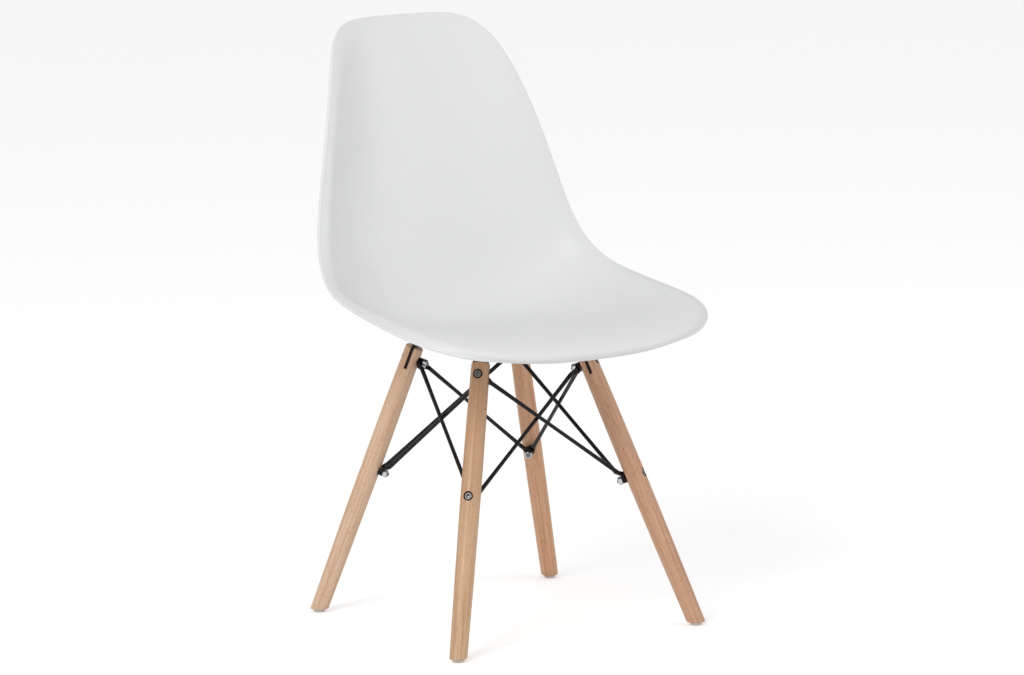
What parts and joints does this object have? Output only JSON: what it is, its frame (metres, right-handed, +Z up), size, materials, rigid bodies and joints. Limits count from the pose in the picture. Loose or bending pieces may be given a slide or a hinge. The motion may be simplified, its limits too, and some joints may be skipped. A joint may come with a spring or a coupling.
{
  "type": "dining chair",
  "caption": "Side chair with a one-piece moulded bucket shell on splayed wooden dowel legs, braced by crossed steel rods under the seat.",
  "frame": {"origin": "on the floor, under the middle of the whole chair's box", "axes": "+Z up, -Y the way the sitter faces, +X to the sitter's left"},
  "size_m": [0.4778, 0.526, 0.8195],
  "materials": {
    "shell_plastic": "satin moulded polypropylene, cool white",
    "beech": "clear-lacquered steamed beech",
    "black_rod": "gloss black powder coat",
    "black_steel": "satin black powder coat",
    "dark_steel": "black oxide",
    "zinc_steel": "bright zinc plate",
    "insert_brass": "plain",
    "spacer_rubber": "matt",
    "glide_nylon": "natural nylon"
  },
  "bodies": {
    "root": {"seat_shell": "shell_plastic", "shell_inserts": "insert_brass", "shell_spacers": "spacer_rubber", "shell_screws": "dark_steel", "frame_bracket_front_right": "black_steel", "frame_bracket_front_left": "black_steel", "frame_bracket_rear_left": "black_steel", "frame_bracket_rear_right": "black_steel", "frame_rail_front": "black_steel", "frame_rail_rear": "black_steel", "frame_rail_right": "black_steel", "frame_rail_left": "black_steel", "leg_front_right": "beech", "leg_front_left": "beech", "leg_rear_left": "beech", "leg_rear_right": "beech", "glide_front_right": "glide_nylon", "glide_front_left": "glide_nylon", "glide_rear_left": "glide_nylon", "glide_rear_right": "glide_nylon", "glide_nails": "zinc_steel", "brace_front_down_left": "black_rod", "brace_front_down_right": "black_rod", "brace_rear_down_left": "black_rod", "brace_rear_down_right": "black_rod", "brace_left_down_front": "black_rod", "brace_left_down_rear": "black_rod", "brace_right_down_front": "black_rod", "brace_right_down_rear": "black_rod", "bolt_upper_front_right": "dark_steel", "bolt_upper_front_left": "dark_steel", "bolt_upper_rear_left": "dark_steel", "bolt_upper_rear_right": "dark_steel", "bolt_lower_front_right": "dark_steel", "bolt_lower_front_left": "dark_steel", "bolt_lower_rear_left": "dark_steel", "bolt_lower_rear_right": "dark_steel", "nut_upper_front_right": "zinc_steel", "nut_upper_front_left": "zinc_steel", "nut_upper_rear_left": "zinc_steel", "nut_upper_rear_right": "zinc_steel", "nut_lower_front_right": "zinc_steel", "nut_lower_front_left": "zinc_steel", "nut_lower_rear_left": "zinc_steel", "nut_lower_rear_right": "zinc_steel"}
  },
  "joints": []
}
